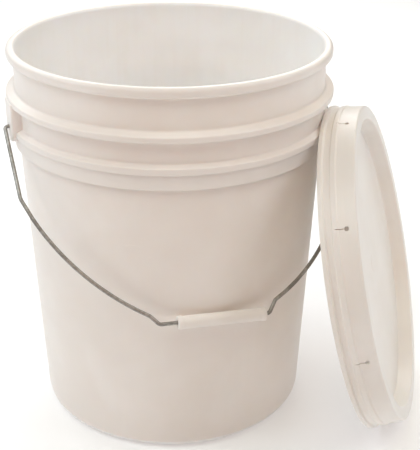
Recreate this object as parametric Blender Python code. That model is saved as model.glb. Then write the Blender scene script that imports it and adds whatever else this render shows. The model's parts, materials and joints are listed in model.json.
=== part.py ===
"""Plastic pail with a wire bail and a press-on lid that leans against it.

Metres, +Z up.  The origin is the centre of the flat base.  The bail's hinge
axis runs along X through the two ears, and the bail hangs towards -Y.
"""
import math

import bmesh
import bpy

MM = 0.001

# ---- pail, turned about Z (millimetres) -----------------------------------
SEGMENTS = 56
BASE_R = 131.8            # outside, where the corner radius meets the wall
CORNER_R = 14.0           # outside radius between base and wall
BASE_T = 3.0              # thickness of the base
WALL_T = 2.4              # thickness of the wall
FOOT_GROOVE = (97.0, 105.0, 1.6)   # inner radius, outer radius, depth
WALL_TOP_R = 145.9        # outside of the wall at WALL_TOP_Z
WALL_TOP_Z = 290.0
SKIRT_Z = 279.8           # lower edge of the hanging skirt
SKIRT_R = 149.8           # outside of the skirt at its lower edge
SKIRT_T = 2.0
SKIRT_GAP_TOP_Z = 292.0   # roof of the gap between skirt and wall
FLANGE2_R = 152.6
FLANGE2_Z = (294.6, 300.0, 302.8)  # underside, outer top edge, inner top edge
BAND_R = 146.9            # wall between the two flanges
FLANGE1_R = 155.0
FLANGE1_Z = (324.2, 329.0, 331.8)
NECK_R = 146.8            # wall between the upper flange and the lip
LIP_R = 152.8
LIP_Z = (362.0, 371.0)    # underside and top of the rolled lip

# ---- ears and bail ---------------------------------------------------------
PIVOT_Z = 302.5           # height of the bail's hinge axis
EAR_R = 14.5              # each ear is round below ...
EAR_TOP_Z = 326.6         # ... and runs straight up to the upper flange
EAR_IN = 145.3            # the ear starts inside the wall ...
EAR_OUT = 156.0           # ... and its face stands here along X
EAR_EDGE = 1.8            # chamfer round the ear's face
EAR_HOLE_R = 2.8
EAR_HOLE_BOTTOM = 147.6
WIRE_R = 1.8
WIRE_END = 148.6          # inner end of the wire, in the ear's hole
LEG_TOP_X = 160.0         # the legs start here, just outside the ears ...
LEG_X = 158.2             # ... and end here, at the kink
LEG_BEND_R = 3.0          # bend from the ear's hole into the leg
# The bail is bent by hand and its two arms differ a little.  For each arm:
# length of the straight leg, the shoulder where the curved arm ends, the bow
# of that arm, and the corner where the straight centre section starts.
# Points are (distance from the middle, distance from the hinge axis).
LEFT_ARM = (72.3, (64.4, 198.6), 13.4, (57.3, 207.7))
RIGHT_ARM = (75.0, (55.6, 202.8), 18.3, (46.6, 214.4))
KINK_R = 16.0             # bend radii along the arm
SHOULDER_R = 6.0
CORNER_BEND_R = 5.0
BAIL_DROP = 46.3          # degrees below horizontal, hanging at the front
GRIP_LEN = 84.0
GRIP_R = 5.9
GRIP_END_R = 6.3
GRIP_BORE_R = 2.5
GRIP_AT = 1.0             # the loose grip's middle lies this far along +X

# ---- lid, turned about its own axis; z = 0 at the open edge ---------------
LID_H = 33.0
LID_OPEN_R = 158.6
LID_CROWN_R = 153.4
LID_T = 2.0
PANEL_R = 137.6           # recessed centre panel
PANEL_Z = 18.0            # its outer face
CROWN_IN_R = 141.2        # inner edge of the raised crown ring
SLOT_COUNT = 8
SLOT_START = 8.0          # degrees
SLOT_Z = (8.6, 23.2)      # open end and relief hole of each skirt slot
SLOT_HALF_W = 0.55
SLOT_HOLE_R = 1.9
LID_AZ = -32.12           # the outer face looks this way round Z, degrees
LID_LEAN = 13.92          # and this far up, degrees
LID_AT = (158.29, -96.99, 154.02)   # centre of the open edge as it leans

GASKET_R = (144.2, 151.0)
GASKET_Z = (28.6, 30.5)


def clear_scene():
    for ob in list(bpy.data.objects):
        bpy.data.objects.remove(ob, do_unlink=True)


def material(name, colour, roughness, metallic=0.0):
    mat = bpy.data.materials.new(name)
    mat.use_nodes = True
    bsdf = mat.node_tree.nodes["Principled BSDF"]
    bsdf.inputs["Base Color"].default_value = (*colour, 1.0)
    bsdf.inputs["Roughness"].default_value = roughness
    bsdf.inputs["Metallic"].default_value = metallic
    return mat


def new_object(name, mesh_or_curve, mat=None):
    ob = bpy.data.objects.new(name, mesh_or_curve)
    bpy.context.scene.collection.objects.link(ob)
    if mat is not None:
        ob.data.materials.append(mat)
    return ob


def arc(cx, cz, r, a0, a1, n):
    """Points of an arc in the profile plane, angles in degrees, ends included."""
    out = []
    for i in range(n + 1):
        a = math.radians(a0 + (a1 - a0) * i / n)
        out.append((cx + r * math.cos(a), cz + r * math.sin(a)))
    return out


def lathe(name, profile, segments, mat, smooth_angle=32.0):
    """Turn a closed profile of (radius, z) millimetre points about Z.

    The profile runs anticlockwise seen with radius to the right and z up.
    Points with radius 0 become the middle of a flat disc.
    """
    bm = bmesh.new()
    rings = []
    for r, z in profile:
        if r <= 0.0:
            rings.append(None)
            continue
        ring = []
        for s in range(segments):
            a = 2.0 * math.pi * s / segments
            ring.append(bm.verts.new((r * MM * math.cos(a), r * MM * math.sin(a), z * MM)))
        rings.append(ring)
    n = len(profile)
    for i in range(n):
        a, b = rings[i], rings[(i + 1) % n]
        if a is None and b is None:
            continue
        if a is None:          # disc, leaving the axis
            bm.faces.new(list(reversed(b)))
            continue
        if b is None:          # disc, arriving at the axis
            bm.faces.new(a)
            continue
        for s in range(segments):
            t = (s + 1) % segments
            bm.faces.new((a[s], a[t], b[t], b[s]))
    bm.normal_update()
    me = bpy.data.meshes.new(name)
    bm.to_mesh(me)
    bm.free()
    me.shade_smooth()
    me.set_sharp_from_angle(angle=math.radians(smooth_angle))
    return new_object(name, me, mat)


def wall_r(z):
    """Outside radius of the tapered wall at height z."""
    t = (z - CORNER_R) / (WALL_TOP_Z - CORNER_R)
    return BASE_R + (WALL_TOP_R - BASE_R) * t


def pail_profile():
    p = [(0.0, 0.0)]
    g0, g1, gd = FOOT_GROOVE
    p += [(g0, 0.0), (g0 + 1.0, gd), (g1 - 1.0, gd), (g1, 0.0)]
    p += arc(BASE_R - CORNER_R, CORNER_R, CORNER_R, -90.0, 0.0, 5)
    # wall, the gap behind the skirt, and the skirt
    p.append((wall_r(150.0), 150.0))
    p.append((wall_r(SKIRT_GAP_TOP_Z - 1.0), SKIRT_GAP_TOP_Z - 1.0))
    skirt_top_r = SKIRT_R + 0.4
    p.append((wall_r(SKIRT_GAP_TOP_Z) + 0.8, SKIRT_GAP_TOP_Z))
    p.append((skirt_top_r - SKIRT_T, SKIRT_GAP_TOP_Z - 0.6))
    p.append((SKIRT_R - SKIRT_T, SKIRT_Z + 0.5))
    p.append((SKIRT_R - SKIRT_T + 0.5, SKIRT_Z))
    p.append((SKIRT_R - 0.5, SKIRT_Z))
    p.append((SKIRT_R, SKIRT_Z + 0.6))
    # lower flange
    u, e, t = FLANGE2_Z
    p += [(skirt_top_r, u - 0.4), (FLANGE2_R - 0.8, u), (FLANGE2_R, u + 0.8),
          (FLANGE2_R, e - 0.8), (FLANGE2_R - 0.9, e), (BAND_R + 0.6, t), (BAND_R, t + 0.8)]
    # band and upper flange
    u, e, t = FLANGE1_Z
    p += [(BAND_R, u - 0.8), (BAND_R + 0.6, u - 0.1), (FLANGE1_R - 0.8, u), (FLANGE1_R, u + 0.8),
          (FLANGE1_R, e - 0.8), (FLANGE1_R - 0.9, e), (NECK_R + 0.9, t), (NECK_R, t + 1.2)]
    # neck and rolled lip
    z0, z1 = LIP_Z
    p += [(NECK_R + 0.1, z0 - 1.2), (NECK_R + 1.0, z0)]
    p += [(LIP_R - 1.4, z0 + 0.4), (LIP_R - 0.3, z0 + 1.8), (LIP_R, z0 + 4.2), (LIP_R - 0.8, z0 + 6.9),
          (LIP_R - 2.6, z1 - 0.4), (LIP_R - 4.4, z1), (LIP_R - 6.2, z1), (LIP_R - 7.3, z1 - 1.0)]
    # inside, from the lip down to the base
    top_in = NECK_R - WALL_T
    p += [(top_in + 0.2, z0 - 1.0), (wall_r(WALL_TOP_Z) - WALL_T, WALL_TOP_Z), (wall_r(150.0) - WALL_T, 150.0)]
    rin = CORNER_R - WALL_T
    p += arc(BASE_R - CORNER_R, CORNER_R + (BASE_T - WALL_T), rin, 0.0, -90.0, 4)
    p.append((0.0, BASE_T))
    return p


def ear_outline(inset):
    """Outline of an ear seen along X: round below, straight above."""
    n = 16
    r = EAR_R - inset
    pts = [(-r, EAR_TOP_Z - inset)]
    for i in range(n + 1):
        a = math.pi + math.pi * i / n
        pts.append((r * math.cos(a), PIVOT_Z + r * math.sin(a)))
    return pts + [(r, EAR_TOP_Z - inset)]


def ear_solid(name, side):
    """A short boss along X, chamfered round its outer face."""
    stations = [(EAR_IN, 0.0), (EAR_OUT - EAR_EDGE, 0.0), (EAR_OUT, EAR_EDGE)]
    bm = bmesh.new()
    rings = []
    for x, inset in stations:
        rings.append([bm.verts.new((side * x * MM, y * MM, z * MM)) for y, z in ear_outline(inset)])
    n = len(rings[0])
    for a, b in zip(rings, rings[1:]):
        for s in range(n):
            t = (s + 1) % n
            bm.faces.new((a[s], a[t], b[t], b[s]))
    bm.faces.new(rings[0])
    bm.faces.new(rings[-1])
    bmesh.ops.recalc_face_normals(bm, faces=bm.faces)
    me = bpy.data.meshes.new(name)
    bm.to_mesh(me)
    bm.free()
    return guide(new_object(name, me))


def pin_hole(name, side):
    bm = bmesh.new()
    length = (EAR_OUT + 4.0 - EAR_HOLE_BOTTOM) * MM
    bmesh.ops.create_cone(bm, cap_ends=True, segments=14, radius1=EAR_HOLE_R * MM,
                          radius2=EAR_HOLE_R * MM, depth=length)
    me = bpy.data.meshes.new(name)
    bm.to_mesh(me)
    bm.free()
    ob = new_object(name, me)
    ob.rotation_euler = (0.0, math.radians(90.0), 0.0)
    ob.location = (side * (EAR_HOLE_BOTTOM * MM + length / 2.0), 0.0, PIVOT_Z * MM)
    return guide(ob)


def guide(ob):
    ob.hide_render = True
    ob.display_type = "WIRE"
    return ob


def boolean(ob, other, operation):
    mod = ob.modifiers.new(operation.lower(), "BOOLEAN")
    mod.operation = operation
    mod.solver = "EXACT"
    mod.object = other


def fillet(prev, corner, nxt, radius, n):
    """Round a corner of a flat path with an arc of the given radius."""
    ax, ay = prev[0] - corner[0], prev[1] - corner[1]
    bx, by = nxt[0] - corner[0], nxt[1] - corner[1]
    la, lb = math.hypot(ax, ay), math.hypot(bx, by)
    ax, ay, bx, by = ax / la, ay / la, bx / lb, by / lb
    half = math.acos(max(-1.0, min(1.0, ax * bx + ay * by))) / 2.0
    cut = radius / math.tan(half)
    mx, my = ax + bx, ay + by
    lm = math.hypot(mx, my)
    cx = corner[0] + mx / lm * radius / math.sin(half)
    cy = corner[1] + my / lm * radius / math.sin(half)
    p0 = (corner[0] + ax * cut, corner[1] + ay * cut)
    p1 = (corner[0] + bx * cut, corner[1] + by * cut)
    a0 = math.atan2(p0[1] - cy, p0[0] - cx)
    a1 = math.atan2(p1[1] - cy, p1[0] - cx)
    d = (a1 - a0 + math.pi) % (2 * math.pi) - math.pi
    return [(cx + radius * math.cos(a0 + d * i / n), cy + radius * math.sin(a0 + d * i / n)) for i in range(n + 1)]


def bowed(p, q, bulge, n):
    """Points of a circular arc from p to q that bows out by bulge."""
    mx, my = (p[0] + q[0]) / 2, (p[1] + q[1]) / 2
    dx, dy = q[0] - p[0], q[1] - p[1]
    c = math.hypot(dx, dy)
    r = (c * c / 4 + bulge * bulge) / (2 * bulge)
    nx, ny = dy / c, -dx / c
    if nx * mx + ny * my < 0:
        nx, ny = -nx, -ny
    ox, oy = mx + nx * (bulge - r), my + ny * (bulge - r)
    a0, a1 = math.atan2(p[1] - oy, p[0] - ox), math.atan2(q[1] - oy, q[0] - ox)
    d = (a1 - a0 + math.pi) % (2 * math.pi) - math.pi
    return [(ox + r * math.cos(a0 + d * i / n), oy + r * math.sin(a0 + d * i / n)) for i in range(n + 1)]


def bail_side(leg, shoulder, bulge, corner, far_corner):
    """One side of the wire's centre line, as (x, distance from the hinge axis)."""
    kink = (LEG_X, leg)
    arm = bowed(kink, shoulder, bulge, 9)
    path = [(WIRE_END, 0.0)]
    path += fillet((WIRE_END, 0.0), (LEG_TOP_X, 0.0), kink, LEG_BEND_R, 5)
    path += [((LEG_TOP_X + LEG_X) / 2.0, leg * 0.5)]
    path += fillet((LEG_TOP_X, 0.0), kink, arm[1], KINK_R, 3)
    path += arm[2:-1]
    path += fillet(arm[-2], shoulder, corner, SHOULDER_R, 3)
    path += fillet(shoulder, corner, (-far_corner[0], far_corner[1]), CORNER_BEND_R, 4)
    return path


def centre_line(x):
    """Distance of the straight centre section from the hinge axis at x."""
    (x0, b0), (x1, b1) = LEFT_ARM[3], RIGHT_ARM[3]
    return b0 + (b1 - b0) * (x + x0) / (x1 + x0)


def make_bail(mat):
    left = bail_side(*LEFT_ARM, RIGHT_ARM[3])
    right = bail_side(*RIGHT_ARM, LEFT_ARM[3])
    pts = [(-x, b) for x, b in left] + list(reversed(right))
    cu = bpy.data.curves.new("bail_wire", "CURVE")
    cu.dimensions = "3D"
    sp = cu.splines.new("POLY")
    sp.points.add(len(pts) - 1)
    for i, (x, b) in enumerate(pts):
        sp.points[i].co = (x * MM, -b * MM, 0.0, 1.0)
    cu.bevel_depth = WIRE_R * MM
    cu.bevel_resolution = 2
    cu.use_fill_caps = True
    ob = new_object("bail_wire", cu, mat)
    ob.location = (0.0, 0.0, PIVOT_Z * MM)
    ob.rotation_euler = (math.radians(BAIL_DROP), 0.0, 0.0)
    return ob


def make_grip(bail, mat):
    h = GRIP_LEN / 2.0
    # outside from the top end to the bottom end, then back up the bore
    prof = [(GRIP_BORE_R, -h), (GRIP_END_R - 0.8, -h), (GRIP_END_R, -h + 0.8), (GRIP_END_R, -h + 3.6),
            (GRIP_R, -h + 4.6), (GRIP_R, h - 4.6), (GRIP_END_R, h - 3.6), (GRIP_END_R, h - 0.8),
            (GRIP_END_R - 0.8, h), (GRIP_BORE_R, h)]
    ob = lathe("bail_grip", prof, 24, mat)
    ob.parent = bail
    ob.location = (GRIP_AT * MM, -centre_line(GRIP_AT) * MM, 0.0)
    tilt = math.atan(centre_line(1.0) - centre_line(0.0))
    ob.rotation_euler = (0.0, math.radians(90.0), -tilt)
    return ob


def lid_profile():
    t = LID_T
    p = [(PANEL_R - 1.6, PANEL_Z - t), (PANEL_R + 1.4, PANEL_Z - t),
         (CROWN_IN_R + 1.2, LID_H - t - 0.6), (CROWN_IN_R + 2.0, LID_H - t),
         (LID_CROWN_R - t, LID_H - t), (LID_CROWN_R - t + 1.0, LID_H - t - 1.0)]
    # inside of the skirt down to the open edge
    p += [(152.9, 23.0), (153.5, 14.0), (153.8, 6.0), (156.4, 3.4), (156.8, 0.0)]
    # outside of the skirt, from the flared lip up to the crown
    p += [(LID_OPEN_R - 0.6, 0.0), (LID_OPEN_R, 0.6), (LID_OPEN_R, 3.4), (LID_OPEN_R - 0.8, 4.2),
          (156.1, 5.0), (155.9, 10.2), (156.8, 11.4), (156.8, 15.4), (155.8, 16.6),
          (154.8, 23.0), (LID_CROWN_R + 0.6, LID_H - 1.6), (LID_CROWN_R - 0.6, LID_H - 0.2),
          (LID_CROWN_R - 1.6, LID_H)]
    # crown ring, the step down and the panel
    p += [(CROWN_IN_R + 0.6, LID_H), (CROWN_IN_R - 0.4, LID_H - 0.8),
          (PANEL_R + 0.3, PANEL_Z + 0.8), (PANEL_R - 0.8, PANEL_Z)]
    p += [(0.0, PANEL_Z), (0.0, PANEL_Z - t)]
    return p


def keyhole_cutters():
    """Slots through the lid's skirt, each ending in a round relief hole."""
    bm = bmesh.new()
    z0, z1 = SLOT_Z
    n = 10
    start = math.asin(SLOT_HALF_W / SLOT_HOLE_R)
    outline = [(-SLOT_HALF_W, z0), (SLOT_HALF_W, z0)]
    for i in range(n + 1):
        a = start + (2 * math.pi - 2 * start) * i / n
        outline.append((SLOT_HOLE_R * math.sin(a), z1 - SLOT_HOLE_R * math.cos(a)))
    for k in range(SLOT_COUNT):
        ang = math.radians(SLOT_START + 360.0 / SLOT_COUNT * k)
        ca, sa = math.cos(ang), math.sin(ang)
        inner, outer = [], []
        for y, z in outline:
            for r, lst in ((151.6, inner), (162.0, outer)):
                lst.append(bm.verts.new(((r * ca - y * sa) * MM, (r * sa + y * ca) * MM, z * MM)))
        m = len(outline)
        bm.faces.new(outer)
        bm.faces.new(list(reversed(inner)))
        for i in range(m):
            j = (i + 1) % m
            bm.faces.new((inner[i], inner[j], outer[j], outer[i]))
    bmesh.ops.recalc_face_normals(bm, faces=bm.faces)
    me = bpy.data.meshes.new("slot_cutters")
    bm.to_mesh(me)
    bm.free()
    return guide(new_object("slot_cutters", me))


def main():
    clear_scene()
    pail_mat = material("pail_hdpe", (0.78, 0.70, 0.64), 0.42)
    wire_mat = material("galvanised_wire", (0.45, 0.44, 0.43), 0.38, 1.0)
    grip_mat = material("grip_plastic", (0.80, 0.73, 0.66), 0.45)
    lid_mat = material("lid_hdpe", (0.78, 0.72, 0.66), 0.40)
    gasket_mat = material("gasket_rubber", (0.72, 0.70, 0.66), 0.75)

    pail = lathe("bucket", pail_profile(), SEGMENTS, pail_mat)
    for side, tag in ((-1, "left"), (1, "right")):
        boolean(pail, ear_solid("ear_guide_" + tag, side), "UNION")
    for side, tag in ((-1, "left"), (1, "right")):
        boolean(pail, pin_hole("hole_cutter_" + tag, side), "DIFFERENCE")

    bail = make_bail(wire_mat)
    make_grip(bail, grip_mat)

    lid = lathe("lid", lid_profile(), SEGMENTS, lid_mat)
    cutters = keyhole_cutters()
    gasket = lathe("lid_gasket", [(GASKET_R[0], GASKET_Z[0]), (GASKET_R[1], GASKET_Z[0]),
                                  (GASKET_R[1], GASKET_Z[1]), (GASKET_R[0], GASKET_Z[1])],
                   SEGMENTS, gasket_mat)
    stand = bpy.data.objects.new("lid_stand", None)
    bpy.context.scene.collection.objects.link(stand)
    stand.location = tuple(v * MM for v in LID_AT)
    stand.rotation_euler = (0.0, math.radians(90.0 - LID_LEAN), math.radians(LID_AZ))
    for ob in (lid, cutters, gasket):
        ob.parent = stand
    boolean(lid, cutters, "DIFFERENCE")


main()
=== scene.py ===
"""Looks of the pail, its wire bail with grip, and the lid that leans against it."""

import json  # noqa: E402
import math  # noqa: E402

import bmesh  # noqa: E402
import bpy  # noqa: E402
from mathutils import Euler, Matrix, Vector  # noqa: E402

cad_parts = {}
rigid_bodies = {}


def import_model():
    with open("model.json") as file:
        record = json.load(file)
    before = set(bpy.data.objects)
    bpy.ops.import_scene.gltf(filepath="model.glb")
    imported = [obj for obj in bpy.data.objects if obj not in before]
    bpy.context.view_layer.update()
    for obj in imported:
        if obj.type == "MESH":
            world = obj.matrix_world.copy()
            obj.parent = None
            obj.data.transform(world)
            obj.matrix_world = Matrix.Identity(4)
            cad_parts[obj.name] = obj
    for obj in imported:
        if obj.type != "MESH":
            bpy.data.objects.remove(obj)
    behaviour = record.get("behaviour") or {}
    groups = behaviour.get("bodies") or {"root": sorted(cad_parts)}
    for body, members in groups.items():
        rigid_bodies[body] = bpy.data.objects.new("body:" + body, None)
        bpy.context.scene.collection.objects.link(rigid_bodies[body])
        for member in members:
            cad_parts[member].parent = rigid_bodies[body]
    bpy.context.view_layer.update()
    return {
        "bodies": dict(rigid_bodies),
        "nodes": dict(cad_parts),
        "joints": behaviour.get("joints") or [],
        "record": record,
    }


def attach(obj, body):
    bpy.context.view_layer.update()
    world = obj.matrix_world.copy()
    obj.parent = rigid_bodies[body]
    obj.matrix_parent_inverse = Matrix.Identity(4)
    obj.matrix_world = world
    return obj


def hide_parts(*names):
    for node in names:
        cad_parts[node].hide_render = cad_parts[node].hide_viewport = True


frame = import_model()

MM = 0.001
SC = bpy.context.scene

# ---------------------------------------------------------------- dimensions
# pail (millimetres)
PAIL_SEG = 240
WALL_R0, WALL_Z0 = 131.8, 14.0
WALL_R1, WALL_Z1 = 145.9, 290.0
EAR_R = 14.5
EAR_TOP_Z = 326.6
# bail
PIVOT_Z = 302.5
BAIL_DROP = 46.3
WIRE_R = 1.8
WIRE_END = 148.6
LEG_TOP_X = 160.0
LEG_X = 158.2
LEFT_ARM = (72.3, (64.4, 198.6), 13.4, (57.3, 207.7))
RIGHT_ARM = (75.0, (55.6, 202.8), 18.3, (46.6, 214.4))
GRIP_LEN = 84.0
GRIP_AT = 1.0
# lid
LID_SEG = 264
LID_AZ, LID_LEAN = -32.12, 13.92
LID_AT = (158.29, -96.99, 154.02)
SLOT_COUNT, SLOT_START = 8, 8.0
SLOT_LOW, SLOT_HIGH = 13.6, 23.2
SLOT_HALF_W, SLOT_HOLE_R = 0.38, 2.15


# ---------------------------------------------------------------- mesh tools
def rounded(points, closed=True, step=18.0):
    """Expand (r, z, radius) corners into (r, z) points with true fillets."""
    out = []
    n = len(points)
    for i, p in enumerate(points):
        r = p[2] if len(p) > 2 else 0.0
        if r <= 0.0 or (not closed and i in (0, n - 1)):
            out.append((p[0], p[1]))
            continue
        a, b = points[(i - 1) % n], points[(i + 1) % n]
        ax, ay, bx, by = a[0] - p[0], a[1] - p[1], b[0] - p[0], b[1] - p[1]
        la, lb = math.hypot(ax, ay), math.hypot(bx, by)
        ax, ay, bx, by = ax / la, ay / la, bx / lb, by / lb
        half = math.acos(max(-1.0, min(1.0, ax * bx + ay * by))) / 2.0
        cut = min(r / math.tan(half), 0.48 * la, 0.48 * lb)
        r = cut * math.tan(half)
        mx, my = ax + bx, ay + by
        lm = math.hypot(mx, my)
        cx, cy = p[0] + mx / lm * r / math.sin(half), p[1] + my / lm * r / math.sin(half)
        a0 = math.atan2(p[1] + ay * cut - cy, p[0] + ax * cut - cx)
        a1 = math.atan2(p[1] + by * cut - cy, p[0] + bx * cut - cx)
        d = (a1 - a0 + math.pi) % (2 * math.pi) - math.pi
        k = max(2, int(math.ceil(abs(math.degrees(d)) / step)))
        out += [(cx + r * math.cos(a0 + d * j / k), cy + r * math.sin(a0 + d * j / k)) for j in range(k + 1)]
    return out


def supported(points, closed=True, margin=0.7, longest=24.0):
    """Add points close to both ends of long straight runs, and along them."""
    out = []
    n = len(points)
    for i in range(n if closed else n - 1):
        p, q = points[i], points[(i + 1) % n]
        out.append(p)
        d = math.hypot(q[0] - p[0], q[1] - p[1])
        if d > 4 * margin and p[0] > 0 and q[0] > 0:
            stops = [margin / d]
            k = int(d // longest)
            stops += [(j + 1) / (k + 1) for j in range(k)]
            stops += [1 - margin / d]
            out += [(p[0] + (q[0] - p[0]) * t, p[1] + (q[1] - p[1]) * t) for t in stops]
    if not closed:
        out.append(points[-1])
    return out


def turned_mesh(name, profile, seg, axis="Z"):
    """Turn a closed (r, z) profile, anticlockwise in the r-z plane."""
    bm = bmesh.new()
    rings = []
    for r, z in profile:
        if r <= 1e-9:
            rings.append(bm.verts.new((0.0, 0.0, z * MM)))
        else:
            rings.append([bm.verts.new((r * MM * math.cos(2 * math.pi * s / seg),
                                        r * MM * math.sin(2 * math.pi * s / seg), z * MM)) for s in range(seg)])
    n = len(profile)
    for i in range(n):
        a, b = rings[i], rings[(i + 1) % n]
        pole_a, pole_b = not isinstance(a, list), not isinstance(b, list)
        if pole_a and pole_b:
            continue
        for s in range(seg):
            t = (s + 1) % seg
            if pole_a:
                bm.faces.new((a, b[t], b[s]))
            elif pole_b:
                bm.faces.new((a[s], a[t], b))
            else:
                bm.faces.new((a[s], a[t], b[t], b[s]))
    if axis == "X":
        bmesh.ops.rotate(bm, verts=bm.verts, cent=(0, 0, 0), matrix=Matrix.Rotation(math.radians(90), 3, "Y"))
    bm.normal_update()
    me = bpy.data.meshes.new(name)
    bm.to_mesh(me)
    bm.free()
    return me


def add_object(name, me, mat=None):
    ob = bpy.data.objects.new(name, me)
    SC.collection.objects.link(ob)
    if mat is not None:
        ob.data.materials.append(mat)
    return ob


def smooth(ob, angle=35.0):
    ob.data.shade_smooth()
    ob.data.set_sharp_from_angle(angle=math.radians(angle))


def carve(ob, other, operation):
    """Boolean with another object, applied at once; the other is removed."""
    mod = ob.modifiers.new("cut", "BOOLEAN")
    mod.operation, mod.solver, mod.object = operation, "EXACT", other
    dg = bpy.context.evaluated_depsgraph_get()
    me = bpy.data.meshes.new_from_object(ob.evaluated_get(dg), depsgraph=dg)
    ob.modifiers.clear()
    old, ob.data = ob.data, me
    me.name = ob.name
    bpy.data.meshes.remove(old)
    bpy.data.objects.remove(other, do_unlink=True)


def fillet2(prev, corner, nxt, radius, n):
    ax, ay = prev[0] - corner[0], prev[1] - corner[1]
    bx, by = nxt[0] - corner[0], nxt[1] - corner[1]
    la, lb = math.hypot(ax, ay), math.hypot(bx, by)
    ax, ay, bx, by = ax / la, ay / la, bx / lb, by / lb
    half = math.acos(max(-1.0, min(1.0, ax * bx + ay * by))) / 2.0
    cut = radius / math.tan(half)
    mx, my = ax + bx, ay + by
    lm = math.hypot(mx, my)
    cx, cy = corner[0] + mx / lm * radius / math.sin(half), corner[1] + my / lm * radius / math.sin(half)
    a0 = math.atan2(corner[1] + ay * cut - cy, corner[0] + ax * cut - cx)
    a1 = math.atan2(corner[1] + by * cut - cy, corner[0] + bx * cut - cx)
    d = (a1 - a0 + math.pi) % (2 * math.pi) - math.pi
    return [(cx + radius * math.cos(a0 + d * i / n), cy + radius * math.sin(a0 + d * i / n)) for i in range(n + 1)]


def bowed(p, q, bulge, n):
    mx, my = (p[0] + q[0]) / 2, (p[1] + q[1]) / 2
    dx, dy = q[0] - p[0], q[1] - p[1]
    c = math.hypot(dx, dy)
    r = (c * c / 4 + bulge * bulge) / (2 * bulge)
    nx, ny = dy / c, -dx / c
    if nx * mx + ny * my < 0:
        nx, ny = -nx, -ny
    ox, oy = mx + nx * (bulge - r), my + ny * (bulge - r)
    a0, a1 = math.atan2(p[1] - oy, p[0] - ox), math.atan2(q[1] - oy, q[0] - ox)
    d = (a1 - a0 + math.pi) % (2 * math.pi) - math.pi
    return [(ox + r * math.cos(a0 + d * i / n), oy + r * math.sin(a0 + d * i / n)) for i in range(n + 1)]


def tube_mesh(name, path, radius, sides):
    """Round bar along a path of points, with chamfered flat ends and a UV map
    that runs u along the bar in metres and v once round it."""
    pts = [Vector(p) for p in path]
    # drop doubled points
    keep = [pts[0]]
    for p in pts[1:]:
        if (p - keep[-1]).length > 1e-5:
            keep.append(p)
    pts = keep
    n = len(pts)
    tang = []
    for i in range(n):
        a, b = pts[max(0, i - 1)], pts[min(n - 1, i + 1)]
        tang.append((b - a).normalized())
    normal = Vector((0, 0, 1))
    rings, lens = [], []
    bm = bmesh.new()
    uv = bm.loops.layers.uv.new("along")
    run = 0.0
    stations = []
    for i in range(n):
        if i:
            run += (pts[i] - pts[i - 1]).length
        if i == 0:
            stations.append((pts[0], tang[0], radius * 0.72, run))
            stations.append((pts[0] + tang[0] * radius * 0.28, tang[0], radius, run))
        elif i == n - 1:
            stations.append((pts[i] - tang[i] * radius * 0.28, tang[i], radius, run))
            stations.append((pts[i], tang[i], radius * 0.72, run))
        else:
            stations.append((pts[i], tang[i], radius, run))
    for p, t, r, s in stations:
        normal = (normal - t * normal.dot(t)).normalized()
        side = t.cross(normal)
        rings.append([bm.verts.new(p + normal * r * math.cos(2 * math.pi * k / sides)
                                   + side * r * math.sin(2 * math.pi * k / sides)) for k in range(sides)])
        lens.append(s)
    for i in range(len(rings) - 1):
        for k in range(sides):
            m = (k + 1) % sides
            f = bm.faces.new((rings[i][k], rings[i][m], rings[i + 1][m], rings[i + 1][k]))
            vals = ((lens[i], k / sides), (lens[i], (k + 1) / sides), (lens[i + 1], (k + 1) / sides), (lens[i + 1], k / sides))
            for loop, val in zip(f.loops, vals):
                loop[uv].uv = val
    for ring, s in ((list(reversed(rings[0])), 0.0), (rings[-1], lens[-1])):
        f = bm.faces.new(ring)
        for loop in f.loops:
            loop[uv].uv = (s, 0.5)
    bm.normal_update()
    me = bpy.data.meshes.new(name)
    bm.to_mesh(me)
    bm.free()
    return me


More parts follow.
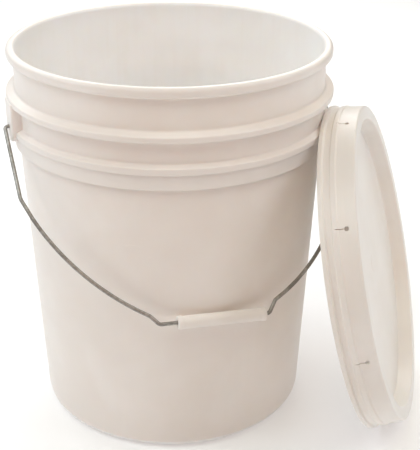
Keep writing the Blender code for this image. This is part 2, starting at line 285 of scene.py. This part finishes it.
# ----------------------------------------------------------------- materials
class Nodes:
    """Small helper to build a node material."""

    def __init__(self, name, frame=None):
        self.frame = frame
        self.mat = bpy.data.materials.new(name)
        self.mat.use_nodes = True
        self.tree = self.mat.node_tree
        self.bsdf = self.tree.nodes["Principled BSDF"]

    def node(self, kind, **props):
        n = self.tree.nodes.new(kind)
        for k, v in props.items():
            setattr(n, k, v)
        return n

    def link(self, a, b):
        self.tree.links.new(a, b)

    def coords(self, scale=(1, 1, 1)):
        """Coordinates in the piece's own frame, stretched by scale."""
        tc = self.node("ShaderNodeTexCoord")
        vec = tc.outputs["Object"]
        if self.frame is not None:
            own = self.node("ShaderNodeMapping", vector_type="TEXTURE")
            own.inputs["Location"].default_value = self.frame.to_translation()
            own.inputs["Rotation"].default_value = self.frame.to_euler()
            self.link(vec, own.inputs["Vector"])
            vec = own.outputs["Vector"]
        mp = self.node("ShaderNodeMapping")
        mp.inputs["Scale"].default_value = scale
        self.link(vec, mp.inputs["Vector"])
        return mp.outputs["Vector"]

    def noise(self, vec, scale, detail=2.0, rough=0.5, distortion=0.0):
        n = self.node("ShaderNodeTexNoise")
        n.inputs["Scale"].default_value = scale
        n.inputs["Detail"].default_value = detail
        n.inputs["Roughness"].default_value = rough
        n.inputs["Distortion"].default_value = distortion
        self.link(vec, n.inputs["Vector"])
        return n.outputs["Fac"]

    def remap(self, value, a, b, c, d, smooth_step=False):
        m = self.node("ShaderNodeMapRange")
        if smooth_step:
            m.interpolation_type = "SMOOTHSTEP"
        m.inputs["From Min"].default_value = a
        m.inputs["From Max"].default_value = b
        m.inputs["To Min"].default_value = c
        m.inputs["To Max"].default_value = d
        self.link(value, m.inputs["Value"])
        return m.outputs["Result"]

    def math(self, op, a, b):
        m = self.node("ShaderNodeMath", operation=op)
        for i, v in enumerate((a, b)):
            if isinstance(v, (int, float)):
                m.inputs[i].default_value = v
            else:
                self.link(v, m.inputs[i])
        return m.outputs[0]

    def mix(self, fac, a, b, blend="MIX"):
        m = self.node("ShaderNodeMix", data_type="RGBA", blend_type=blend)
        if isinstance(fac, (int, float)):
            m.inputs["Factor"].default_value = fac
        else:
            self.link(fac, m.inputs["Factor"])
        for key, v in (("A", a), ("B", b)):
            sock = [s for s in m.inputs if s.name == key and s.type == "RGBA"][0]
            if isinstance(v, tuple):
                sock.default_value = (*v, 1.0)
            else:
                self.link(v, sock)
        return [s for s in m.outputs if s.type == "RGBA"][0]

    def bump(self, height, strength, distance, normal=None):
        b = self.node("ShaderNodeBump")
        b.inputs["Strength"].default_value = strength
        b.inputs["Distance"].default_value = distance
        self.link(height, b.inputs["Height"])
        if normal is not None:
            self.link(normal, b.inputs["Normal"])
        return b.outputs["Normal"]

    def set(self, **values):
        for k, v in values.items():
            key = k.replace("_", " ")
            sock = self.bsdf.inputs[key]
            if hasattr(v, "is_linked") or isinstance(v, bpy.types.NodeSocket):
                self.link(v, sock)
            else:
                sock.default_value = v


def inner_face_mask_for_painted_glow(m, vec):
    """1 on the pail's inner face, 0 on its outer face; it places the painted inner glow."""
    xyz = m.node("ShaderNodeSeparateXYZ")
    m.link(vec, xyz.inputs["Vector"])
    x, y, z = (xyz.outputs[k] for k in "XYZ")
    r = m.math("SQRT", m.math("ADD", m.math("MULTIPLY", x, x), m.math("MULTIPLY", y, y)), 0.0)
    slope = (WALL_R1 - WALL_R0) / (WALL_Z1 - WALL_Z0)
    mid = m.math("ADD", m.math("MULTIPLY", z, slope), (WALL_R0 - 1.2 - slope * WALL_Z0) * MM)
    mid = m.math("MINIMUM", mid, 145.4 * MM)
    return m.remap(m.math("SUBTRACT", r, mid), -0.4 * MM, 0.4 * MM, 1.0, 0.0)


def tones(colour):
    dark = tuple(c * f for c, f in zip(colour, (0.965, 0.955, 0.945)))
    lite = tuple(min(1.0, c * f) for c, f in zip(colour, (1.015, 1.017, 1.022)))
    return dark, lite


def moulded_plastic(name, colour, inner=None, rough=0.40, sss=0.18, streak=1.0, scuff=1.0, frame=None):
    """Natural-white polyethylene: soft mottling from the wall's thickness,
    faint draw streaks along the mould, light handling scuffs and a fine satin
    grain.  The inside may get a lighter, more neutral colour: painted light
    for the inside's glow through the translucent wall and its bounce light."""
    m = Nodes(name, frame)
    dark, lite = tones(colour)
    vec = m.coords()
    broad = m.remap(m.noise(vec, 11.0, 3.0, 0.55, 0.3), 0.32, 0.70, 0.0, 1.0, True)
    col = m.mix(broad, dark, lite)
    if inner is not None:
        # inner faces take the lighter, more neutral inner colour: painted light for the glow of the inside through the
        # translucent wall
        col = m.mix(inner_face_mask_for_painted_glow(m, vec), col, m.mix(broad, *tones(inner)))
    tall = m.coords((1.0, 1.0, 0.045))
    lines = m.remap(m.noise(tall, 170.0, 3.0, 0.6), 0.42, 0.68, 0.0, 0.35 * streak, True)
    col = m.mix(lines, col, dark)
    flat = m.coords((0.10, 0.10, 1.0))
    marks = m.remap(m.noise(flat, 420.0, 4.0, 0.65, 0.6), 0.64, 0.74, 0.0, 1.0, True)
    where = m.remap(m.noise(vec, 19.0, 2.0), 0.50, 0.66, 0.0, 0.55 * scuff, True)
    scuffs = m.math("MULTIPLY", marks, where)
    col = m.mix(scuffs, col, tuple(min(1.0, c * 1.06) for c in colour))
    m.set(Base_Color=col)
    fine = m.noise(vec, 950.0, 2.0, 0.5)
    soft = m.noise(vec, 60.0, 3.0, 0.5)
    r = m.remap(soft, 0.3, 0.7, rough - 0.045, rough + 0.05)
    r = m.math("ADD", r, m.math("MULTIPLY", scuffs, 0.14))
    m.set(Roughness=r)
    nrm = m.bump(soft, 0.10, 0.0006)
    nrm = m.bump(lines, 0.05, 0.0002, nrm)
    nrm = m.bump(fine, 0.10, 0.00012, nrm)
    m.set(Normal=nrm)
    m.bsdf.inputs["IOR"].default_value = 1.54
    m.bsdf.inputs["Subsurface Weight"].default_value = sss
    m.bsdf.inputs["Subsurface Radius"].default_value = (1.0, 0.80, 0.65)
    m.bsdf.inputs["Subsurface Scale"].default_value = 0.003
    return m.mat


def galvanised_steel(name):
    """Drawn and zinc-coated wire: crystal spangle, fine lines along the wire
    and duller, darker patches where it has been handled."""
    m = Nodes(name)
    vec = m.coords()
    sp = m.node("ShaderNodeTexVoronoi", feature="F1")
    sp.inputs["Scale"].default_value = 420.0
    sp.inputs["Randomness"].default_value = 1.0
    m.link(vec, sp.inputs["Vector"])
    bw = m.node("ShaderNodeRGBToBW")
    m.link(sp.outputs["Color"], bw.inputs["Color"])
    spangle = m.remap(bw.outputs["Val"], 0.15, 0.85, 0.0, 1.0)
    col = m.mix(spangle, (0.30, 0.285, 0.265), (0.43, 0.41, 0.385))
    dull = m.remap(m.noise(vec, 46.0, 4.0, 0.6), 0.46, 0.66, 0.0, 0.75, True)
    col = m.mix(dull, col, (0.24, 0.225, 0.205))
    m.set(Base_Color=col)
    um = m.node("ShaderNodeUVMap", uv_map="along")
    mp = m.node("ShaderNodeMapping")
    mp.inputs["Scale"].default_value = (40.0, 46.0, 1.0)
    m.link(um.outputs["UV"], mp.inputs["Vector"])
    drawn = m.noise(mp.outputs["Vector"], 1.0, 3.0, 0.6)
    r = m.remap(drawn, 0.3, 0.7, 0.34, 0.50)
    r = m.math("ADD", r, m.math("MULTIPLY", dull, 0.12))
    m.set(Roughness=r)
    nrm = m.bump(drawn, 0.25, 0.00012)
    nrm = m.bump(spangle, 0.06, 0.00008, nrm)
    m.set(Normal=nrm)
    m.bsdf.inputs["Metallic"].default_value = 1.0
    return m.mat


def foam_rubber(name, colour):
    """Soft closed-cell seal with fine pores, their hollows darkened as painted shade."""
    m = Nodes(name)
    vec = m.coords()
    pores = m.node("ShaderNodeTexVoronoi", feature="SMOOTH_F1")
    pores.inputs["Scale"].default_value = 1500.0
    m.link(vec, pores.inputs["Vector"])
    cell = m.remap(pores.outputs["Distance"], 0.0, 0.6, 0.0, 1.0)
    patch = m.remap(m.noise(vec, 35.0, 3.0), 0.35, 0.65, 0.0, 1.0)
    col = m.mix(patch, tuple(c * 0.93 for c in colour), colour)
    # the pore centres are darkened: painted shade in the pores' hollows
    col = m.mix(m.remap(cell, 0.0, 0.35, 0.35, 0.0), col, tuple(c * 0.7 for c in colour))
    m.set(Base_Color=col)
    m.set(Roughness=m.remap(patch, 0.0, 1.0, 0.78, 0.9))
    m.set(Normal=m.bump(cell, 0.4, 0.0002))
    return m.mat


def floor_paper(name):
    """Plain pale studio paper."""
    m = Nodes(name)
    vec = m.coords()
    tooth = m.noise(vec, 180.0, 3.0, 0.6)
    m.set(Base_Color=m.mix(m.remap(tooth, 0.35, 0.65, 0.0, 1.0), (0.77, 0.77, 0.77), (0.80, 0.80, 0.80)))
    m.set(Roughness=m.remap(tooth, 0.3, 0.7, 0.80, 0.92))
    m.bsdf.inputs["Specular IOR Level"].default_value = 0.1
    m.bsdf.inputs["Emission Color"].default_value = (1.0, 1.0, 1.0, 1.0)
    m.bsdf.inputs["Emission Strength"].default_value = FLOOR_GLOW
    return m.mat


# -------------------------------------------------------------------- lights
# Large soft sources round the table.  Angles are about the middle of the
# object as the camera sees it: 0 is the camera's own side, 90 its right.
CAM_TURN = -19.5
FLOOR_GLOW = 0.23
WORLD = ((1.0, 1.0, 1.0), 0.10)
LIGHTS = (
    # name, angle, height, distance, size, watts, colour
    ("left", -75.0, 38.0, 2.2, 1.5, 15.0, (0.94, 0.99, 1.0)),
    ("left_back", -135.0, 35.0, 2.2, 1.4, 15.0, (1.0, 1.0, 1.0)),
    ("right", 80.0, 40.0, 2.2, 1.4, 14.8, (0.90, 0.91, 0.95)),
    ("right_high", 75.0, 58.0, 2.2, 1.2, 3.4, (0.98, 1.0, 0.86)),
    ("right_back", 140.0, 38.0, 2.2, 1.4, 6.0, (1.0, 0.88, 0.72)),
    ("back", 180.0, 35.0, 2.2, 1.4, 17.0, (1.0, 1.0, 1.0)),
    ("front_warm", 0.0, 30.0, 2.6, 1.6, 5.4, (1.0, 0.28, 0.08)),
    ("top_front", 0.0, 62.0, 2.3, 1.4, 9.4, (1.0, 1.0, 0.78)),
    ("top_left_front", -40.0, 58.0, 2.2, 1.2, 6.2, (0.78, 0.88, 1.0)),
)
LOOK_AT = Vector((0.055, -0.045, 0.17))


def make_lights():
    world = bpy.data.worlds.new("studio")
    world.use_nodes = True
    bg = world.node_tree.nodes["Background"]
    bg.inputs["Color"].default_value = (*WORLD[0], 1.0)
    bg.inputs["Strength"].default_value = WORLD[1]
    SC.world = world
    for name, angle, height, dist, size, watts, colour in LIGHTS:
        a, e = math.radians(angle + CAM_TURN), math.radians(height)
        way = Vector((math.sin(a) * math.cos(e), -math.cos(a) * math.cos(e), math.sin(e)))
        data = bpy.data.lights.new(name, "AREA")
        data.shape = "DISK"
        data.size = size
        data.energy = watts
        data.color = colour
        ob = bpy.data.objects.new(name, data)
        SC.collection.objects.link(ob)
        ob.location = LOOK_AT + way * dist
        ob.rotation_euler = (-way).to_track_quat("-Z", "Y").to_euler()


def make_camera():
    data = bpy.data.cameras.new("camera")
    data.sensor_width = 36.0
    data.sensor_fit = "AUTO"
    data.lens = 1090.4 * 36.0 / 450.0
    data.clip_start, data.clip_end = 0.05, 30.0
    ob = bpy.data.objects.new("camera", data)
    SC.collection.objects.link(ob)
    turn = (Matrix.Rotation(math.radians(-19.5), 4, "Z") @ Matrix.Rotation(math.radians(90.0 - 24.815), 4, "X")
            @ Matrix.Rotation(math.radians(0.307), 4, "Z"))
    ob.matrix_world = Matrix.Translation((-0.29794, -0.95640, 0.6421)) @ turn
    SC.camera = ob


def make_floor():
    bm = bmesh.new()
    bmesh.ops.create_grid(bm, x_segments=8, y_segments=8, size=5.0)
    me = bpy.data.meshes.new("floor")
    bm.to_mesh(me)
    bm.free()
    ob = add_object("floor", me, floor_paper("studio_paper"))


# ---------------------------------------------------------------------- pail
def wall_r(z):
    return WALL_R0 + (WALL_R1 - WALL_R0) * (z - WALL_Z0) / (WALL_Z1 - WALL_Z0)


def pail_profile():
    p = [(0.0, 0.9), (7.0, 0.9, 0.4), (8.2, 0.0, 0.4),
         (97.0, 0.0, 0.6), (98.4, 1.6, 0.6), (103.6, 1.6, 0.6), (105.0, 0.0, 0.6),
         (wall_r(0.0), 0.0, 14.0),
         (wall_r(293.0), 293.0, 0.7), (147.7, 293.0, 0.7),
         (147.5, 279.8, 0.5), (149.8, 279.8, 0.8), (150.3, 294.4, 0.5),
         (152.6, 294.4, 0.9), (152.6, 300.4, 1.4), (146.9, 303.0, 1.8),
         (146.9, 324.0, 1.2), (155.0, 324.0, 1.0), (155.0, 329.3, 1.5), (146.75, 332.2, 2.2),
         (146.75, 361.8, 1.6), (152.8, 361.8, 2.6), (152.8, 371.0, 4.4), (144.6, 371.0, 3.0),
         (144.3, 330.0, 0.0), (wall_r(290.0) - 2.4, 290.0, 0.0), (wall_r(3.0) - 2.4, 3.0, 11.6),
         (9.0, 3.0, 0.5), (8.0, 3.5, 0.4), (0.0, 3.5)]
    return supported(rounded(p))


def ear_outline(inset):
    """Outline of an ear seen along X: round below, straight up to the flange."""
    n = 36
    r = EAR_R - inset
    pts = [(-r, EAR_TOP_Z - inset)]
    for i in range(n + 1):
        a = math.pi + math.pi * i / n
        pts.append((r * math.cos(a), PIVOT_Z + r * math.sin(a)))
    return pts + [(r, EAR_TOP_Z - inset)]


def ear_mesh(side):
    """Boss along X with a rounded outer edge."""
    stations = [(145.2, 0.0), (150.0, 0.0), (154.1, 0.0), (154.85, 0.15), (155.5, 0.55), (155.88, 1.15), (156.0, 1.9)]
    bm = bmesh.new()
    rings = [[bm.verts.new((side * x * MM, y * MM, z * MM)) for y, z in ear_outline(inset)] for x, inset in stations]
    n = len(rings[0])
    for a, b in zip(rings, rings[1:]):
        for s in range(n):
            t = (s + 1) % n
            bm.faces.new((a[s], a[t], b[t], b[s]))
    bm.faces.new(rings[0])
    bm.faces.new(rings[-1])
    bmesh.ops.recalc_face_normals(bm, faces=bm.faces)
    me = bpy.data.meshes.new("ear")
    bm.to_mesh(me)
    bm.free()
    return me


def pin_hole_mesh():
    """Blind hole of the wire's end, with a small countersink."""
    p = [(0.0, 147.6), (2.75, 147.6), (2.75, 154.9), (4.1, 156.6), (4.1, 170.0), (0.0, 170.0)]
    return turned_mesh("hole", p, 64, "X")


def make_pail(mat):
    ob = add_object("bucket_shell", turned_mesh("bucket_shell", pail_profile(), PAIL_SEG), mat)
    for side in (-1, 1):
        ear = add_object("ear", ear_mesh(side))
        turn = math.pi if side < 0 else 0.0
        hole = add_object("hole", pin_hole_mesh())
        hole.matrix_world = Matrix.Translation((0, 0, PIVOT_Z * MM)) @ Matrix.Rotation(turn, 4, "Z")
        bpy.context.view_layer.update()
        carve(ob, ear, "UNION")
        carve(ob, hole, "DIFFERENCE")
    smooth(ob, 32.0)
    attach(ob, "bucket")
    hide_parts("bucket")
    return ob


# ---------------------------------------------------------------------- bail
def bail_side(leg, shoulder, bulge, corner, far_corner):
    kink = (LEG_X, leg)
    arm = bowed(kink, shoulder, bulge, 30)
    path = [(WIRE_END, 0.0), (WIRE_END + 3.0, 0.0)]
    path += fillet2((WIRE_END, 0.0), (LEG_TOP_X, 0.0), kink, 3.0, 12)
    path += [(LEG_TOP_X + (LEG_X - LEG_TOP_X) * t, leg * t) for t in (0.15, 0.3, 0.45, 0.6)]
    path += fillet2((LEG_TOP_X, 0.0), kink, arm[3], 16.0, 8)
    path += arm[4:-2]
    path += fillet2(arm[-3], shoulder, corner, 6.0, 8)
    path += fillet2(shoulder, corner, (-far_corner[0], far_corner[1]), 5.0, 9)
    return path


def centre_line(x):
    (x0, b0), (x1, b1) = LEFT_ARM[3], RIGHT_ARM[3]
    return b0 + (b1 - b0) * (x + x0) / (x1 + x0)


def bail_frame():
    return Matrix.Translation((0, 0, PIVOT_Z * MM)) @ Matrix.Rotation(math.radians(BAIL_DROP), 4, "X")


def grip_frame():
    tilt = math.atan(centre_line(1.0) - centre_line(0.0))
    local = (Matrix.Translation((GRIP_AT * MM, -centre_line(GRIP_AT) * MM, 0.0))
             @ Euler((0.0, math.radians(90.0), -tilt)).to_matrix().to_4x4())
    return bail_frame() @ local


def make_bail(mat):
    left = bail_side(*LEFT_ARM, RIGHT_ARM[3])
    right = bail_side(*RIGHT_ARM, LEFT_ARM[3])
    pts = [(-x, b) for x, b in left] + list(reversed(right))
    ob = add_object("bail", tube_mesh("bail", [(x * MM, -b * MM, 0.0) for x, b in pts], WIRE_R * MM, 20), mat)
    smooth(ob, 40.0)
    ob.data.transform(bail_frame())
    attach(ob, "bail")
    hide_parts("bail_wire")
    return ob


def make_grip(mat):
    h = GRIP_LEN / 2.0
    p = [(2.5, -h, 0.4), (6.3, -h, 1.0), (6.3, -h + 3.8, 0.5), (5.9, -h + 4.8, 0.6),
         (5.9, h - 4.8, 0.6), (6.3, h - 3.8, 0.5), (6.3, h, 1.0), (2.5, h, 0.4)]
    me = turned_mesh("grip", supported(rounded(p), longest=5.0), 72)
    # mould parting line along both sides
    for v in me.vertices:
        r = math.hypot(v.co.x, v.co.y)
        if r > 4.5 * MM:
            a = math.atan2(v.co.y, v.co.x)
            off = min(abs(a - math.radians(80)), abs(a - math.radians(-100)))
            k = 1.0 + 0.16 * MM / r * max(0.0, 1.0 - off / math.radians(7.0))
            v.co.x *= k
            v.co.y *= k
    ob = add_object("grip", me, mat)
    smooth(ob, 35.0)
    ob.data.transform(grip_frame())
    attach(ob, "grip")
    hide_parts("bail_grip")
    return ob


# ----------------------------------------------------------------------- lid
def lid_frame():
    turn = Euler((0.0, math.radians(90.0 - LID_LEAN), math.radians(LID_AZ))).to_matrix().to_4x4()
    return Matrix.Translation([v * MM for v in LID_AT]) @ turn


def lid_profile():
    p = [(0.0, 16.0), (139.0, 16.0, 1.4), (142.7, 31.0, 0.9), (152.3, 31.0, 1.1),
         (152.9, 23.0, 2.5), (153.5, 14.0, 2.5), (153.8, 6.0, 1.3), (156.5, 3.4, 0.9), (156.9, 0.0, 0.35),
         (158.6, 0.0, 0.7), (158.6, 3.9, 0.9), (156.0, 5.0, 1.1), (155.9, 10.3, 0.7),
         (156.85, 11.3, 0.8), (156.85, 15.5, 0.9), (155.75, 16.7, 1.3), (154.8, 23.0, 4.0),
         (153.95, 33.0, 1.9), (141.05, 33.0, 1.2), (137.6, 18.0, 1.5),
         (9.0, 18.0, 0.4), (8.0, 18.5, 0.4), (0.0, 18.5)]
    return supported(rounded(p))


def skirt_cutters(name, outline, inner_r):
    """One prism per slot: an outline (y, z), from a radius that may change
    with height out past the skirt."""
    bm = bmesh.new()
    m = len(outline)
    for k in range(SLOT_COUNT):
        a = math.radians(SLOT_START + 360.0 / SLOT_COUNT * k)
        ca, sa = math.cos(a), math.sin(a)
        inner = [bm.verts.new(((inner_r(z) * ca - y * sa) * MM, (inner_r(z) * sa + y * ca) * MM, z * MM)) for y, z in outline]
        outer = [bm.verts.new(((164.0 * ca - y * sa) * MM, (164.0 * sa + y * ca) * MM, z * MM)) for y, z in outline]
        bm.faces.new(outer)
        bm.faces.new(list(reversed(inner)))
        for i in range(m):
            j = (i + 1) % m
            bm.faces.new((inner[i], inner[j], outer[j], outer[i]))
    bmesh.ops.recalc_face_normals(bm, faces=bm.faces)
    me = bpy.data.meshes.new(name)
    bm.to_mesh(me)
    bm.free()
    return add_object(name, me)


def tear_grooves():
    """Narrow tear groove across the ridge, nearly through the skirt."""
    half, z0, z1 = SLOT_HALF_W, SLOT_LOW, SLOT_HIGH
    outline = [(-half, z0), (half, z0), (half, z1), (-half, z1)]
    return skirt_cutters("grooves", outline, lambda z: 154.35 - 0.055 * (z - z0))


def relief_holes():
    """Round hole at the end of each groove, through into the channel."""
    n = 28
    outline = [(SLOT_HOLE_R * math.cos(2 * math.pi * i / n), SLOT_HIGH + SLOT_HOLE_R * math.sin(2 * math.pi * i / n))
               for i in range(n)]
    return skirt_cutters("holes", outline, lambda z: 150.0)


def make_lid(mat):
    ob = add_object("lid_cover", turned_mesh("lid_cover", lid_profile(), LID_SEG), mat)
    carve(ob, tear_grooves(), "DIFFERENCE")
    carve(ob, relief_holes(), "DIFFERENCE")
    smooth(ob, 35.0)
    ob.data.transform(lid_frame())
    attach(ob, "lid")
    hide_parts("lid")
    return ob


def make_gasket(mat):
    p = [(144.2, 28.6, 0.7), (151.0, 28.6, 0.7), (151.0, 30.5, 0.7), (144.2, 30.5, 0.7)]
    ob = add_object("seal_ring", turned_mesh("seal_ring", rounded(p), 200), mat)
    smooth(ob, 60.0)
    ob.data.transform(lid_frame())
    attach(ob, "lid")
    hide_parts("lid_gasket")
    return ob


# ---------------------------------------------------------------------- main
make_camera()
make_lights()
make_floor()
# the second colour, lighter and more neutral, is painted light: the glow of the pail's inside through its translucent
# wall
make_pail(moulded_plastic("pail_polyethylene", (0.885, 0.835, 0.79), (0.955, 0.945, 0.932), sss=0.25, streak=0.3))
make_bail(galvanised_steel("galvanised_wire"))
make_grip(moulded_plastic("grip_plastic", (0.89, 0.845, 0.795), rough=0.44, sss=0.20, streak=0.4, scuff=1.4, frame=grip_frame()))
make_lid(moulded_plastic("lid_polyethylene", (0.885, 0.845, 0.80), rough=0.38, sss=0.25, streak=0.0, frame=lid_frame()))
make_gasket(foam_rubber("seal_foam", (0.72, 0.70, 0.66)))

SC.view_settings.view_transform = "Standard"
SC.view_settings.look = "None"
